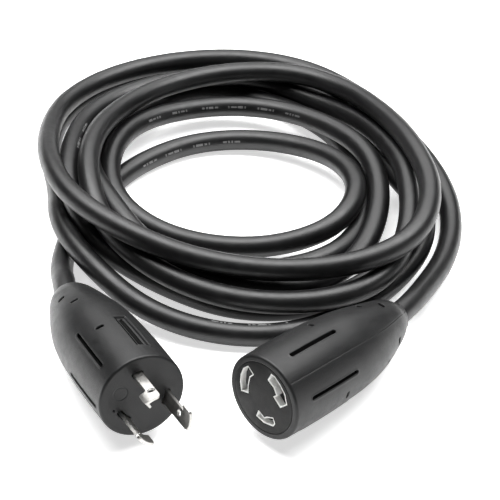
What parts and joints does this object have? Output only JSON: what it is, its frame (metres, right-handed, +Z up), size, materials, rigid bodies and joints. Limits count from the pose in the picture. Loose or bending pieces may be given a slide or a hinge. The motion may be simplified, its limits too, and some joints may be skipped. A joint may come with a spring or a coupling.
{
  "type": "shore power cord",
  "caption": "Coiled black power cord with a moulded locking plug on one end and a matching moulded locking connector on the other.",
  "frame": {"origin": "bottom centre of the box around the plug and the connector as they lie in front of the coil, on the surface that the cord stands on", "axes": "+Z up; +X across the front, from the plug towards the connector; +Y back towards the coil"},
  "size_m": [0.2233, 0.3281, 0.0443],
  "materials": {
    "grip": "moulded flexible PVC, fine matte grain",
    "jacket": "black flexible PVC jacket, satin, with a faint printed legend drawn as plain dashes",
    "face_insert": "moulded thermoplastic, matte",
    "carrier_dark": "glass-filled nylon, matte",
    "carrier_light": "natural nylon",
    "inner_mould": "rigid pre-mould, matte",
    "nickel": "nickel-plated brass, bright with fine stamping marks",
    "brass": "tinned spring brass",
    "copper": "bare stranded copper",
    "core_green": "green insulation",
    "core_white": "white insulation",
    "core_black": "black insulation",
    "filler": "paper and jute filler cords"
  },
  "bodies": {
    "root": {"plug_grip": "grip", "plug_blade_carrier": "carrier_dark", "plug_inner_mould": "inner_mould", "plug_ground_blade": "nickel", "plug_neutral_blade": "nickel", "plug_line_blade": "nickel", "plug_ground_core": "core_green", "plug_neutral_core": "core_white", "plug_line_core": "core_black", "plug_conductors": "copper", "plug_cable_end": "jacket", "plug_fillers": "filler", "connector_grip": "grip", "connector_face": "face_insert", "connector_contact_carrier": "carrier_light", "connector_inner_mould": "inner_mould", "connector_ground_contact": "brass", "connector_neutral_contact": "brass", "connector_line_contact": "brass", "connector_ground_core": "core_green", "connector_neutral_core": "core_white", "connector_line_core": "core_black", "connector_conductors": "copper", "connector_cable_end": "jacket", "connector_fillers": "filler", "cable_coil": "jacket", "cable_plug_run": "jacket", "cable_connector_run": "jacket"}
  },
  "joints": []
}
